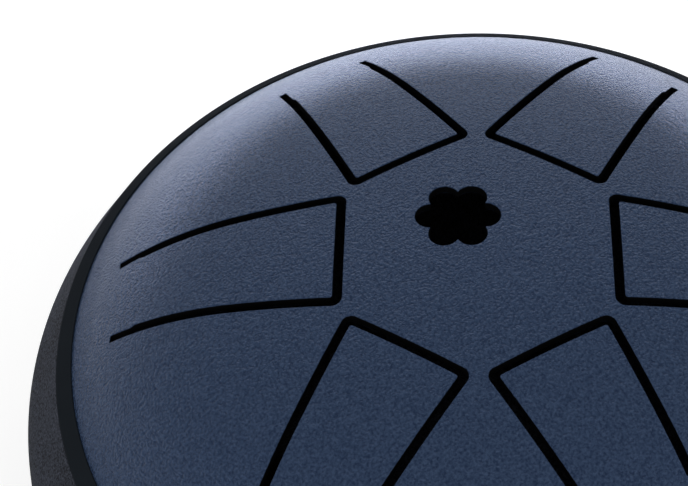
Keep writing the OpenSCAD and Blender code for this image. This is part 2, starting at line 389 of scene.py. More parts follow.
# Turns a closed section round the drum's axis, or round a foot's
def turnedMesh(name, section, steps):
    bm = bmesh.new()
    ring = [bm.verts.new((x * mm, 0, z * mm)) for x, z in section]
    edges = [bm.edges.new((ring[i - 1], ring[i])) for i in range(len(ring))]
    axisEdges = [e for e in edges if all(v.co.x < 1e-9 for v in e.verts)]
    edges = [e for e in edges if e not in axisEdges]
    bmesh.ops.delete(bm, geom=axisEdges, context="EDGES_FACES")
    bmesh.ops.spin(
        bm, geom=ring + edges, cent=(0, 0, 0), axis=(0, 0, 1), dvec=(0, 0, 0),
        angle=math.tau, steps=steps, use_merge=False, use_duplicate=False,
    )
    bmesh.ops.remove_doubles(bm, verts=bm.verts, dist=1e-6)
    bmesh.ops.recalc_face_normals(bm, faces=bm.faces)
    return meshFrom(name, bm)


# Heights come from the frame
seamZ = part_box("collar")[0].z / mm
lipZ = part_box("collar")[1].z / mm
creaseZ = lipZ + 0.4  # the seal covers the collar's lip by this much
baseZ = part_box("bowl")[0].z / mm
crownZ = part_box("tongue_shell")[1].z / mm

shellSet = {
    "sheet": 1.5,
    "crownArc": 130.0,
    "shoulderStart": 36.4,
    "shoulderArc": 51.0,
    "edge": 60.8,  # radius of the visible edge
    "edgeRise": 1.2,  # of that edge above the crease
    "bend": 0.6,
    "bendSteps": (8, 5),  # outer and inner face
    "skirt": 8.0,
    "skirtRows": (0.33, 0.66),
    "skirtRound": 0.25,
    "blank": 59.4,  # radius up to which the blank is meshed in plan
    "blankTurn": 1.2,  # degrees of the shoulder between that and the bend
    "mesh": 2.0,  # spacing of its points
    "cutClear": 1.25,  # what they keep free round the cuts
    "rimClear": 0.6,  # and along the blank's edge, as a share of the spacing
    "steps": 240,
    "coatRound": 0.12,  # radius that the coat leaves on a cut edge
    "coatSteps": 4,
    "hold": 0.17,  # width of the strip of faces that keeps that rounding crisp
}
slitSet = {
    "tip": 20.3,  # from the axis
    "tipWidth": 17.2,
    "taper": 4.6,  # degrees, on each side
    "longest": 53.5,  # from the axis to the slits' ends
    "shares": [0.908, 0.95, 0.93, 0.872, 0.978, 1],  # clockwise from the tongue beyond the hole
    "width": 1.4,
    "endWidth": 1.12,
    "endLength": 3.3,
    "endSlope": 0.6,
    "tipRound": 0.36,
    "tipRoundSteps": 4,
    "cornerSteps": 10,
    "spacing": 1.2,
}
rosetteSet = {"offset": 5.5, "lobe": 2.25, "lobes": 6, "steps": 14}

shoulderTurn = math.asin(shellSet["shoulderStart"] / shellSet["crownArc"])
shoulderX = shellSet["shoulderStart"] - shellSet["shoulderArc"] * math.sin(shoulderTurn)
edgeTurn = math.asin((shellSet["edge"] - shoulderX) / shellSet["shoulderArc"])
edgeDegrees = 90 - math.degrees(edgeTurn)
shoulderZ = (
    crownZ - shellSet["crownArc"] * (1 - math.cos(shoulderTurn))
    - shellSet["shoulderArc"] * math.cos(shoulderTurn)
)
edgeZ = creaseZ + shellSet["edgeRise"]
bendOut = shellSet["bend"] + shellSet["sheet"]
bendX = shellSet["edge"] - bendOut * math.sin(edgeTurn)
bendZ = edgeZ - bendOut * math.cos(edgeTurn)
skirtOut = bendX + bendOut
skirtIn = skirtOut - shellSet["sheet"]
skirtZ = bendZ - shellSet["skirt"]


# Outline of one slit, counterclockwise, for a tongue that points inwards along -X
def slitLoop(reach, cuts):
    taper = math.radians(cuts["taper"])
    run = (reach - cuts["tip"]) / math.cos(taper)
    step = cuts["width"] - cuts["endWidth"]
    half = cuts["tipWidth"] / 2

    def along(side, away, distance):
        return Vector((
            cuts["tip"] + distance * math.cos(taper) + away * math.sin(taper),
            side * (half - distance * math.sin(taper) + away * math.cos(taper)),
        ))

    def corner(side, radius, inset, steps):
        middle = half - inset * (1 + math.sin(taper)) / math.cos(taper)
        turns = [
            math.pi / 2 - taper + i * (math.pi / 2 + taper) / steps for i in range(steps + 1)
        ]
        return [
            Vector((
                cuts["tip"] + inset + radius * math.cos(turn),
                side * (middle + radius * math.sin(turn)),
            ))
            for turn in turns
        ]

    def outerSide(side):
        return [
            along(side, cuts["width"], run),
            *corner(side, cuts["width"], 0, cuts["cornerSteps"]),
        ]

    def innerSide(side):
        return [
            along(side, step, run),
            along(side, step, run - cuts["endLength"]),
            along(side, 0, run - cuts["endLength"] - cuts["endSlope"]),
            *corner(side, cuts["tipRound"], cuts["tipRound"], cuts["tipRoundSteps"]),
        ]

    corners = [
        *outerSide(1), *reversed(outerSide(-1)), *innerSide(-1), *reversed(innerSide(1))
    ]
    loop = []
    for i, here in enumerate(corners):
        ahead = corners[(i + 1) % len(corners)]
        pieces = max(1, math.ceil((ahead - here).length / cuts["spacing"]))
        loop += [here.lerp(ahead, k / pieces) for k in range(pieces)]
    return loop


# Outline of the rosette: a half circle for each lobe
def rosetteLoop(holes):
    reach = holes["lobe"] / math.tan(math.pi / holes["lobes"])
    loop = []
    for lobe in range(holes["lobes"]):
        facing = math.pi / 2 + lobe * math.tau / holes["lobes"]
        middle = Vector((0, holes["offset"])) + reach * Vector((math.cos(facing), math.sin(facing)))
        for k in range(holes["steps"]):
            turn = facing - math.pi / 2 + k * math.pi / holes["steps"]
            loop.append(middle + holes["lobe"] * Vector((math.cos(turn), math.sin(turn))))
    return loop


# For each point of a hole's outline, the step into the steel that keeps both sides parallel
def mitres(loop):
    steps = []
    for i, here in enumerate(loop):
        came = (here - loop[i - 1]).normalized()
        goes = (loop[(i + 1) % len(loop)] - here).normalized()
        first, second = Vector((came.y, -came.x)), Vector((goes.y, -goes.x))
        steps.append((first + second) / (1 + first.dot(second)))
    return steps


def isInside(point, loop):
    inside = False
    last = loop[-1]
    for here in loop:
        if (here.y > point.y) != (last.y > point.y):
            share = (point.y - here.y) / (last.y - here.y)
            if point.x < here.x + share * (last.x - here.x):
                inside = not inside
        last = here
    return inside


# The sheet cut in the flat: both faces, the rounded cut edges, and the rim turned down.
# Points with pressed = 1 are lifted onto the dome by the tree that follows.
def steelBlank(name, steel, cuts, holes):
    loops = []
    for i, share in enumerate(cuts["shares"]):
        turn = Matrix.Rotation(math.radians(90 - i * 360 / len(cuts["shares"])), 2)
        loops.append([turn @ point for point in slitLoop(cuts["longest"] * share, cuts)])
    loops.append(rosetteLoop(holes))
    offsets = [mitres(loop) for loop in loops]

    verts, faces, pressed, underside, drop, walls = [], [], [], [], [], set()

    def addPoint(x, y, z, lift, under, below):
        verts.append((x * mm, y * mm, z * mm))
        pressed.append(lift)
        underside.append(under)
        drop.append(below * mm)
        return len(verts) - 1

    def addStrip(upper, lower):
        count = len(upper)
        for i in range(count):
            k = (i + 1) % count
            faces.append((upper[i], upper[k], lower[k], lower[i]))

    # Cut edges: quarter rounds under the coat on both faces, joined by the wall
    rounding, hold = steel["coatRound"], steel["hold"]
    arc = [
        (rounding * (1 - math.cos(t)), rounding * (1 - math.sin(t)))
        for t in [
            math.radians(90 - 90 * k / steel["coatSteps"]) for k in range(steel["coatSteps"] + 1)
        ]
    ]
    rows = [(hold, 0, 0), *[(d, b, 0) for d, b in arc],
            *[(d, b, 1) for d, b in reversed(arc)], (hold, 0, 1)]
    holdRows = {0: [], 1: []}
    for loop, offset in zip(loops, offsets):
        above = None
        for inward, below, under in rows:
            row = [
                addPoint(*(p + o * inward), 0, 1, under, below) for p, o in zip(loop, offset)
            ]
            if above:
                first = len(faces)
                addStrip(row, above)
                if inward == 0 and under:
                    walls.update(range(first, len(faces)))
            above = row
            if inward == hold:
                holdRows[under].append(row)

    # Plan of the faces: the loops at their holding rows, the outer circle and a hexagonal grid.
    # A point's owner is the number of its loop, -1 on the circle and -2 in the grid.
    plan, edges, owner = [], [], []

    def addLoop(points, number):
        start, count = len(plan), len(points)
        plan.extend(points)
        owner.extend([number] * count)
        edges.extend((start + i, start + (i + 1) % count) for i in range(count))

    heldLoops = [
        [p + o * hold for p, o in zip(loop, offset)] for loop, offset in zip(loops, offsets)
    ]
    for number, held in enumerate(heldLoops):
        addLoop(held, number)
    turns = [math.tau * i / steel["steps"] for i in range(steel["steps"])]
    ways = [Vector((math.cos(turn), math.sin(turn))) for turn in turns]
    addLoop([way * steel["blank"] for way in ways], -1)

    tree = KDTree(len(plan))
    for i, point in enumerate(plan):
        tree.insert((*point, 0), i)
    tree.balance()
    gap, rowGap = steel["mesh"], steel["mesh"] * math.sqrt(3) / 2
    reach = math.ceil(steel["blank"] / rowGap)
    grid = []
    for row in range(-reach, reach + 1):
        for column in range(-reach, reach + 1):
            point = Vector(((column + 0.5 * (row % 2)) * gap, row * rowGap))
            if point.length > steel["blank"] - steel["rimClear"] * gap:
                continue
            _, nearest, distance = tree.find((*point, 0))
            if distance < steel["cutClear"]:
                continue
            if owner[nearest] >= 0 and isInside(point, heldLoops[owner[nearest]]):
                continue
            grid.append(point)
    plan += grid
    owner += [-2] * len(grid)

    outPoints, _, triangles, origins, _, _ = delaunay_2d_cdt(plan, edges, [], 0, 1e-6)
    source = [origin[0] for origin in origins]
    kept = []
    for triangle in triangles:
        owners = {owner[source[i]] for i in triangle}
        number = next(iter(owners))
        if len(owners) == 1 and number >= 0:
            middle = sum((outPoints[i] for i in triangle), Vector((0, 0))) / 3
            if isInside(middle, heldLoops[number]):
                continue
        kept.append([source[i] for i in triangle])

    rims = {}
    for under in (0, 1):
        index = [i for row in holdRows[under] for i in row]
        rims[under] = [addPoint(*(way * steel["blank"]), 0, 1, under, 0) for way in ways]
        index += rims[under]
        index += [addPoint(*point, 0, 1, under, 0) for point in grid]
        for a, b, c in kept:
            faces.append((index[a], index[b], index[c]))

    # Rim: shoulder, bend, skirt and back up inside
    rimStart = edgeDegrees + steel["blankTurn"]
    outerSteps, innerSteps = steel["bendSteps"]
    skirtRows = [bendZ - steel["skirt"] * share for share in steel["skirtRows"]]
    outer = [
        *arcPoints((shoulderX, shoulderZ), steel["shoulderArc"], rimStart, edgeDegrees, 1),
        *arcPoints((bendX, bendZ), bendOut, edgeDegrees, 0, outerSteps)[1:],
        *[(skirtOut, z) for z in skirtRows],
    ]
    lower = roundedSection([
        (skirtOut, bendZ),
        (skirtOut, skirtZ, steel["skirtRound"]),
        (skirtIn, skirtZ, steel["skirtRound"]),
        (skirtIn, bendZ),
    ])[1:-1]
    inner = [
        *[(skirtIn, z) for z in reversed(skirtRows)],
        *arcPoints((bendX, bendZ), steel["bend"], 0, edgeDegrees, innerSteps),
    ]
    above = rims[0]
    for radius, height in [*outer, *lower, *inner]:
        row = [addPoint(*(way * radius), height, 0, 0, 0) for way in ways]
        addStrip(row, above)
        above = row
    addStrip(rims[1], above)

    mesh = bpy.data.meshes.new(name)
    mesh.from_pydata(verts, [], faces)
    for label, values in {"pressed": pressed, "underside": underside, "drop": drop}.items():
        mesh.attributes.new(label, "FLOAT", "POINT").data.foreach_set("value", values)
    # The cut walls are marked for the near-black painted shade of the slits
    bareWall = [1.0 if i in walls else 0.0 for i in range(len(faces))]
    mesh.attributes.new("bareWall", "FLOAT", "FACE").data.foreach_set("value", bareWall)
    bm = bmesh.new()
    bm.from_mesh(mesh)
    bmesh.ops.recalc_face_normals(bm, faces=bm.faces)
    bm.to_mesh(mesh)
    bm.free()
    return mesh


# Tree that presses the blank into two arcs of one thickness, as the press tool does
def pressDome(name):
    tree, given = newTree(name, {
        "Crown arc": "Float", "Crown out": "Float", "Crown centre": "Float",
        "Shoulder arc": "Float", "Shoulder out": "Float", "Shoulder centre": "Float",
        "Shoulder turn": "Float", "Sheet": "Float", "Finish": "Material", "Cut finish": "Material",
    })

    place = addNode(tree, "GeometryNodeInputPosition").outputs["Position"]
    split = addNode(tree, "ShaderNodeSeparateXYZ", {}, {"Vector": place}).outputs
    known = {"x": split["X"], "y": split["Y"], **{item.name: item for item in given if item.name}}
    for label in ("pressed", "underside", "drop", "bareWall"):
        known[label] = addNode(
            tree, "GeometryNodeInputNamedAttribute", {"data_type": "FLOAT"}, {"Name": label}
        ).outputs["Attribute"]

    # Each line is a result, its operation, and the two values that it takes
    sums = [
        ("xx", "MULTIPLY", "x", "x"),
        ("yy", "MULTIPLY", "y", "y"),
        ("square out", "ADD", "xx", "yy"),
        ("out", "SQRT", "square out", 0),
        ("inset", "MULTIPLY", "underside", "Sheet"),
    ]
    # Height of each arc's face over a point of the plan
    for arc in ("Crown", "Shoulder"):
        sums += [
            (arc + " radius", "SUBTRACT", arc + " arc", "inset"),
            (arc + " across", "SUBTRACT", "out", arc + " out"),
            (arc + " radius square", "MULTIPLY", arc + " radius", arc + " radius"),
            (arc + " across square", "MULTIPLY", arc + " across", arc + " across"),
            (arc + " rise square", "SUBTRACT", arc + " radius square", arc + " across square"),
            (arc + " kept", "MAXIMUM", arc + " rise square", 0),
            (arc + " rise", "SQRT", arc + " kept", 0),
            (arc + " top", "ADD", arc + " rise", arc + " centre"),
        ]
    sums += [
        # Which of the two, further out on the outer face than on the inner one
        ("turn", "SINE", "Shoulder turn", 0),
        ("change", "MULTIPLY", "Crown radius", "turn"),
        ("on shoulder", "GREATER_THAN", "out", "change"),
        ("difference", "SUBTRACT", "Shoulder top", "Crown top"),
        ("added", "MULTIPLY", "difference", "on shoulder"),
        ("face", "ADD", "Crown top", "added"),
        # A cut edge's rounding goes down from the outer face and up from the inner one
        ("double", "MULTIPLY", "underside", 2),
        ("way", "SUBTRACT", "double", 1),
        ("rounding", "MULTIPLY", "way", "drop"),
        ("height", "ADD", "face", "rounding"),
        ("lift it", "GREATER_THAN", "pressed", 0.5),
        ("slit shade face", "GREATER_THAN", "bareWall", 0.5),
    ]
    for result, operation, first, second in sums:
        known[result] = addNode(
            tree, "ShaderNodeMath", {"operation": operation},
            {0: known.get(first, first), 1: known.get(second, second)},
        ).outputs[0]
    target = addNode(
        tree, "ShaderNodeCombineXYZ", {}, {"X": known["x"], "Y": known["y"], "Z": known["height"]}
    ).outputs["Vector"]
    lifted = addNode(
        tree, "GeometryNodeSetPosition", {},
        {"Geometry": given["Geometry"], "Selection": known["lift it"], "Position": target},
    ).outputs["Geometry"]
    # The cut walls get the near-black finish that paints the slits' shade
    return endTree(
        tree, lifted, [(given["Finish"], True), (given["Cut finish"], known["slit shade face"])]
    )


tongueShell = newPiece("tongueShell", steelBlank("tongueShell", shellSet, slitSet, rosetteSet))
runTree(tongueShell, pressDome("pressDome"), {
    "Crown arc": shellSet["crownArc"] * mm,
    "Crown out": 0,
    "Crown centre": (crownZ - shellSet["crownArc"]) * mm,
    "Shoulder arc": shellSet["shoulderArc"] * mm,
    "Shoulder out": shoulderX * mm,
    "Shoulder centre": shoulderZ * mm,
    "Shoulder turn": shoulderTurn,
    "Sheet": shellSet["sheet"] * mm,
    "Finish": navyPowderCoat,
    "Cut finish": darkCutSteel,
})
finishPiece(tongueShell, ["tongue_shell"])


# Rubber seal in the joint: a sloped band with a limb that hangs behind it
sealSet = {
    "band": 2.3,
    "lap": 0.25,  # of the thin lip over the steel's shoulder
    "lip": 0.2,  # its thickness
    "lipRounds": (0.03, 0.07),  # under it and on it
    "creaseRound": 0.3,
    "limb": 1.0,
    "limbHeight": 4.5,
    "limbRound": 0.2,
    "gap": 0.05,
    "bendSteps": 10,
    "steps": 240,
}

creaseR = shellSet["edge"] + sealSet["band"]
bellySet = {
    "flare": 6.9,  # from the crease out to the widest place
    "arc": 16.5,
    "arcSteps": (16, 12),  # outer and inner face
    "wall": 2.6,
    "shelf": 2.0,
    "upstand": 4.0,
    "bead": 1.0,
    "edgeRound": 0.35,
    "lipRound": 0.15,
    "ribRound": 0.3,
    "seamRound": 0.25,
    "seamTurn": 2.5,  # degrees of the arc that the seam's rounding takes up
    "steps": 240,
}
bellyR = creaseR + bellySet["flare"]
bellyX = bellyR - bellySet["arc"]
creaseReach = math.hypot(creaseR - bellyX, creaseZ - seamZ)
flankTurn = (
    math.atan2(creaseZ - seamZ, creaseR - bellyX) - math.acos(bellySet["arc"] / creaseReach)
)
flankLip = creaseR + (creaseZ - lipZ) * math.tan(flankTurn)
pocketR = skirtOut + 3 * sealSet["gap"] + sealSet["limb"]


def sealSection(seal):
    # A thin lip lies on the steel's shoulder, just inside the edge
    lipDegrees = edgeDegrees + math.degrees(seal["lap"] / shellSet["shoulderArc"])
    under = shellSet["shoulderArc"] + seal["gap"]
    lipOuter, lipInner = [
        arcPoints((shoulderX, shoulderZ), radius, lipDegrees, lipDegrees, 1)[0]
        for radius in (under + seal["lip"], under)
    ]
    sealZ, limbZ = lipZ + seal["gap"], lipZ - seal["limbHeight"]
    limbIn, limbOut = skirtOut + 2 * seal["gap"], pocketR - seal["gap"]
    corners = [
        (*lipInner, seal["lipRounds"][0]),
        (*lipOuter, seal["lipRounds"][1]),
        (creaseR, creaseZ, seal["creaseRound"]),
        (creaseR + (creaseZ - sealZ) * math.tan(flankTurn), sealZ),
        (limbOut, sealZ),
        (limbOut, limbZ, seal["limbRound"]),
        (limbIn, limbZ, seal["limbRound"]),
        (limbIn, bendZ),
        *arcPoints((bendX, bendZ), bendOut + seal["gap"], 0, edgeDegrees, seal["bendSteps"]),
    ]
    return roundedSection(corners)


rimSeal = newPiece("rimSeal", turnedMesh("rimSeal", sealSection(sealSet), sealSet["steps"]))
rimSeal.data.materials.append(smoothSealRubber)
finishPiece(rimSeal, ["rim_seal"])


# Silicone bead that beds the skirt, with a tooled fillet inside
shelfZ = skirtZ - bellySet["bead"] - 2 * sealSet["gap"]
upstandOut = skirtIn - bellySet["bead"] - 2 * sealSet["gap"]
upstandIn = upstandOut - bellySet["shelf"]
beadSet = {"rise": 2.5, "gap": 0.05, "fillet": 0.4, "steps": 240}
beadSection = roundedSection([
    (upstandOut + beadSet["gap"], shelfZ + beadSet["gap"]),
    (pocketR - beadSet["gap"], shelfZ + beadSet["gap"]),
    (pocketR - beadSet["gap"], skirtZ - beadSet["gap"], beadSet["fillet"]),
    (skirtIn - beadSet["gap"], skirtZ - beadSet["gap"]),
    (skirtIn - beadSet["gap"], skirtZ + beadSet["rise"]),
    (upstandOut + beadSet["gap"], skirtZ + beadSet["rise"], beadSet["fillet"]),
])
bondBead = newPiece("bondBead", turnedMesh("bondBead", beadSection, beadSet["steps"]))
bondBead.data.materials.append(greySilicone)
finishPiece(bondBead, ["bond_bead"])


# Collar: the upper moulding, with its pocket, shelf, upstand and rib
spigotSet = {"height": 3.0, "gap": 0.05, "round": 0.2}
spigotOut = bellyR - bellySet["wall"] / 2


def collarSection(body):
    inArc = body["arc"] - body["wall"]
    flankDegrees = math.degrees(flankTurn)
    outerSteps, innerSteps = body["arcSteps"]
    ribOut = pocketR + body["shelf"]
    ribZ = lipZ - (ribOut - flankLip + body["wall"] / math.cos(flankTurn)) / math.tan(flankTurn)
    halfZ = spigotSet["height"] + spigotSet["gap"]
    halfDegrees = math.degrees(math.asin(halfZ / inArc))
    return roundedSection([
        (bellyR, seamZ, body["seamRound"]),
        *arcPoints((bellyX, seamZ), body["arc"], body["seamTurn"], flankDegrees, outerSteps),
        (flankLip, lipZ, body["edgeRound"]),
        (pocketR, lipZ, body["lipRound"]),
        (pocketR, shelfZ),
        (upstandOut, shelfZ),
        (upstandOut, shelfZ + body["upstand"], body["ribRound"]),
        (upstandIn, shelfZ + body["upstand"], body["ribRound"]),
        (upstandIn, shelfZ - body["shelf"], body["ribRound"]),
        (ribOut, shelfZ - body["shelf"], body["ribRound"]),
        (ribOut, ribZ),
        *arcPoints((bellyX, seamZ), inArc, flankDegrees, halfDegrees, innerSteps),
        (spigotOut, seamZ + halfZ),
        (spigotOut, seamZ),
    ])


upperCollar = newPiece(
    "upperCollar", turnedMesh("upperCollar", collarSection(bellySet), bellySet["steps"])
)
upperCollar.data.materials.append(sparkErodedAbs)
finishPiece(upperCollar, ["collar"])


# Bowl: the lower moulding, with a spigot, four screw bosses and four seats for the feet
bowlSet = {
    "base": 43.0,
    "baseRound": 0.8,
    "baseTurn": 2,  # degrees of the arc that the base's rounding takes up
    "seamTurn": 1.2,
    "arcSteps": (28, 24),
    "innerRing": 20,
    "bossR": 4.5,
    "bossFoot": 1.3,  # start of a boss, inside the wall
    "bossTop": 17.0,
    "bossRound": 0.5,
    "footCircle": 33.0,
    "feet": 4,
    "seatR": 7.05,
    "seatDepth": 1.0,
    "pilotR": 1.65,
    "pilotTop": 15.4,
    "over": 1,  # how far a cutter starts outside what it cuts
    "sharpAngle": 32,
    "bossSteps": 64,
    "steps": 240,
}
bowlHeight = seamZ - baseZ
bowlIn = bellyR - bowlSet["base"]
bowlArc = (bowlHeight ** 2 + bowlIn ** 2) / (2 * bowlIn)
bowlX = bellyR - bowlArc


def bowlSection(bowl, wall):
    inArc = bowlArc - wall
    floorZ = baseZ + wall
    outerSteps, innerSteps = bowl["arcSteps"]
    outerDegrees = math.degrees(math.asin(-bowlHeight / bowlArc)) + bowl["baseTurn"]
    innerDegrees = math.degrees(math.asin((floorZ - seamZ) / inArc))
    spigotIn = bellyR - wall + 2 * spigotSet["gap"]
    return roundedSection([
        (0, baseZ),
        (bowl["innerRing"], baseZ),
        (bowl["base"], baseZ, bowl["baseRound"]),
        *arcPoints((bowlX, seamZ), bowlArc, outerDegrees, -bowl["seamTurn"], outerSteps),
        (bellyR, seamZ, bellySet["seamRound"]),
        (spigotOut - spigotSet["gap"], seamZ),
        (spigotOut - spigotSet["gap"], seamZ + spigotSet["height"], spigotSet["round"]),
        (spigotIn, seamZ + spigotSet["height"], spigotSet["round"]),
        (spigotIn, seamZ),
        *arcPoints((bowlX, seamZ), inArc, 0, innerDegrees, innerSteps),
        (bowl["innerRing"], floorZ),
        (0, floorZ),
    ])


# In a tree, the feet's places: points of a circle, turned by half of the step between them
def feetPlaces(tree, count, radius):
    circle = addNode(
        tree, "GeometryNodeMeshCircle", {}, {"Vertices": count, "Radius": radius}
    ).outputs["Mesh"]
    halfStep = addNode(
        tree, "ShaderNodeMath", {"operation": "DIVIDE"}, {0: math.pi, 1: count}
    ).outputs[0]
    turn = addNode(tree, "ShaderNodeCombineXYZ", {}, {"Z": halfStep}).outputs["Vector"]
    return addNode(
        tree, "GeometryNodeTransform", {}, {"Geometry": circle, "Rotation": turn}
    ).outputs["Geometry"]


# Tree that adds the bosses and cuts the seats and pilot holes, one for each foot
def bossTree(name):
    tree, given = newTree(name, {
        "Boss": "Object", "Seat and pilot": "Object", "Foot circle": "Float",
        "Feet": "Int", "Finish": "Material",
    })
    places = feetPlaces(tree, given["Feet"], given["Foot circle"])
    placed = {}
    for label in ("Boss", "Seat and pilot"):
        shape = addNode(tree, "GeometryNodeObjectInfo", {}, {"Object": given[label]}).outputs
        copies = addNode(
            tree, "GeometryNodeInstanceOnPoints", {},
            {"Points": places, "Instance": shape["Geometry"]},
        ).outputs["Instances"]
        placed[label] = addNode(
            tree, "GeometryNodeRealizeInstances", {}, {"Geometry": copies}
        ).outputs["Geometry"]

    joined = addNode(tree, "GeometryNodeMeshBoolean", {"operation": "UNION", "solver": "EXACT"})
    tree.links.new(given["Geometry"], joined.inputs["Mesh 2"])
    tree.links.new(placed["Boss"], joined.inputs["Mesh 2"])
    cut = addNode(
        tree, "GeometryNodeMeshBoolean", {"operation": "DIFFERENCE", "solver": "EXACT"},
        {"Mesh 1": joined.outputs["Mesh"], "Mesh 2": placed["Seat and pilot"]},
    ).outputs["Mesh"]
    return endTree(tree, cut, [(given["Finish"], True)])


bossZ = baseZ + bowlSet["bossFoot"]
bossShape = bpy.data.objects.new("bossShape", turnedMesh("bossShape", roundedSection([
    (0, bossZ),
    (bowlSet["bossR"], bossZ),
    (bowlSet["bossR"], bowlSet["bossTop"], bowlSet["bossRound"]),
    (0, bowlSet["bossTop"]),
]), bowlSet["bossSteps"]))
cutterZ, seatZ = baseZ - bowlSet["over"], baseZ + bowlSet["seatDepth"]
cutterShape = bpy.data.objects.new("cutterShape", turnedMesh("cutterShape", [
    (0, cutterZ),
    (bowlSet["seatR"], cutterZ),
    (bowlSet["seatR"], seatZ),
    (bowlSet["pilotR"], seatZ),
    (bowlSet["pilotR"], bowlSet["pilotTop"]),
    (0, bowlSet["pilotTop"]),
], bowlSet["bossSteps"]))
lowerBowl = newPiece(
    "lowerBowl", turnedMesh("lowerBowl", bowlSection(bowlSet, bellySet["wall"]), bowlSet["steps"])
)
runTree(lowerBowl, bossTree("bossesAndSeats"), {
    "Boss": bossShape, "Seat and pilot": cutterShape,
    "Foot circle": bowlSet["footCircle"] * mm, "Feet": bowlSet["feet"], "Finish": sparkErodedAbs,
})
finishPiece(lowerBowl, ["bowl"], bowlSet["sharpAngle"])
bpy.data.objects.remove(bossShape)
bpy.data.objects.remove(cutterShape)


# Tree that sets one copy at each foot's place
def aroundTheBase(name):
    tree, given = newTree(name, {
        "Circle radius": "Float", "Count": "Int", "Most turn": "Float", "Seed": "Int",
        "Finish": "Material",
    })
    places = feetPlaces(tree, given["Count"], given["Circle radius"])
    # Fastened by hand, so no two heads stop at the same angle
    stop = addNode(
        tree, "FunctionNodeRandomValue", {"data_type": "FLOAT"},
        {2: 0.0, 3: given["Most turn"], "Seed": given["Seed"]},
    ).outputs[1]
    spin = addNode(tree, "ShaderNodeCombineXYZ", {}, {"Z": stop}).outputs["Vector"]
    copies = addNode(
        tree, "GeometryNodeInstanceOnPoints", {},
        {"Points": places, "Instance": given["Geometry"], "Rotation": spin},
    ).outputs["Instances"]
    return endTree(tree, copies, [(given["Finish"], True)])


atTheFeet = aroundTheBase("aroundTheBase")
circleSet = {"Circle radius": bowlSet["footCircle"] * mm, "Count": bowlSet["feet"], "Seed": 4}

# Feet: moulded rubber, with a counterbore for the washer and the screw's head
footSet = {
    "r": 7.0, "face": 6.02, "edge": 0.8, "flankTop": baseZ - 0.02, "top": 4.95, "topRound": 0.3,
    "bore": 3.65, "boreRound": 0.25, "boreTop": 3.25, "hole": 1.65, "holeRound": 0.1,
    "roundSteps": 5, "steps": 72,
}
footMesh = turnedMesh("feet", roundedSection([
    (footSet["bore"], 0, footSet["boreRound"]),
    (footSet["face"], 0, footSet["edge"]),
    (footSet["r"], footSet["flankTop"]),
    (footSet["r"], footSet["top"], footSet["topRound"]),
    (footSet["hole"], footSet["top"], footSet["holeRound"]),
    (footSet["hole"], footSet["boreTop"], footSet["holeRound"]),
    (footSet["bore"], footSet["boreTop"]),
], footSet["roundSteps"]), footSet["steps"])
feet = newPiece("feet", footMesh)
runTree(feet, atTheFeet, {**circleSet, "Most turn": math.tau, "Finish": mattFootRubber})
finishPiece(feet, ["foot_1", "foot_2", "foot_3", "foot_4"])

# Washers: blanked from strip, so one face keeps a small rounding
washerSet = {"r": 3.6, "hole": 1.65, "low": 2.4, "high": 3.2, "lowRound": 0.15,
             "highRound": 0.06, "roundSteps": 3, "steps": 64}
washerMesh = turnedMesh("footWashers", roundedSection([
    (washerSet["hole"], washerSet["low"], washerSet["lowRound"]),
    (washerSet["r"], washerSet["low"], washerSet["lowRound"]),
    (washerSet["r"], washerSet["high"], washerSet["highRound"]),
    (washerSet["hole"], washerSet["high"], washerSet["highRound"]),
], washerSet["roundSteps"]), washerSet["steps"])
footWashers = newPiece("footWashers", washerMesh)
runTree(footWashers, atTheFeet, {**circleSet, "Most turn": math.tau, "Finish": washerZinc})
finishPiece(
    footWashers,
    ["foot_washer_1", "foot_washer_2", "foot_washer_3", "foot_washer_4"],
)

# Screws: self-tapping, with a pan head and a cross recess
screwSet = {
    "head": 3.0, "headLow": 0.6, "headTop": 2.35, "headRound": 0.7, "brimRound": 0.1,
    "roundSteps": 6, "headSteps": 64,
    "recess": 1.08, "crossLong": 3.9, "crossWide": 0.9, "crossTaper": 0.75, "over": 1,
    "core": 1.12, "crest": 1.6, "pitch": 1.27, "around": 36,
    "thread": [(0.0, 0), (0.5, 0), (0.68, 1), (0.8, 1)],  # share of the pitch, on the crest or not
    "shankStart": 2.0, "threadStart": 3.4, "pointStart": 12.4, "tip": 14.4, "tipR": 0.24,
}


# Rows run along the helix, one for each corner of the thread
def threadedShank(name, screw):
    rows = screw["thread"]
    turns = math.ceil((screw["tip"] - screw["shankStart"]) / screw["pitch"]) + 2
    low, high = screw["shankStart"], screw["tip"]
    bm = bmesh.new()
    grid = []
    for turn in range(-1, turns):
        for phase, form in rows:
            row = []
            for k in range(screw["around"]):
                height = low + (turn + phase + k / screw["around"]) * screw["pitch"]
                z = min(max(height, low), high)
                rise = min(max((z - screw["threadStart"]) / screw["pitch"], 0), 1)
                point = min(max((z - screw["pointStart"]) / (high - screw["pointStart"]), 0), 1)
                radius = screw["core"] + form * rise * (screw["crest"] - screw["core"])
                radius += (screw["tipR"] - radius) * point
                angle = math.tau * k / screw["around"]
                row.append(bm.verts.new(
                    (radius * math.cos(angle) * mm, radius * math.sin(angle) * mm, z * mm)
                ))
            grid.append(row)
    for i in range(len(grid) - 1):
        for k in range(screw["around"] - 1):
            bm.faces.new((grid[i][k], grid[i][k + 1], grid[i + 1][k + 1], grid[i + 1][k]))
        if i + 1 + len(rows) < len(grid):
            bm.faces.new((grid[i][-1], grid[i + len(rows)][0],
                          grid[i + 1 + len(rows)][0], grid[i + 1][-1]))
    bmesh.ops.remove_doubles(bm, verts=bm.verts, dist=1e-6)
    bmesh.ops.dissolve_degenerate(bm, edges=bm.edges, dist=1e-7)
    bmesh.ops.holes_fill(bm, edges=[e for e in bm.edges if e.is_boundary], sides=0)
    bmesh.ops.recalc_face_normals(bm, faces=bm.faces)
    return meshFrom(name, bm)


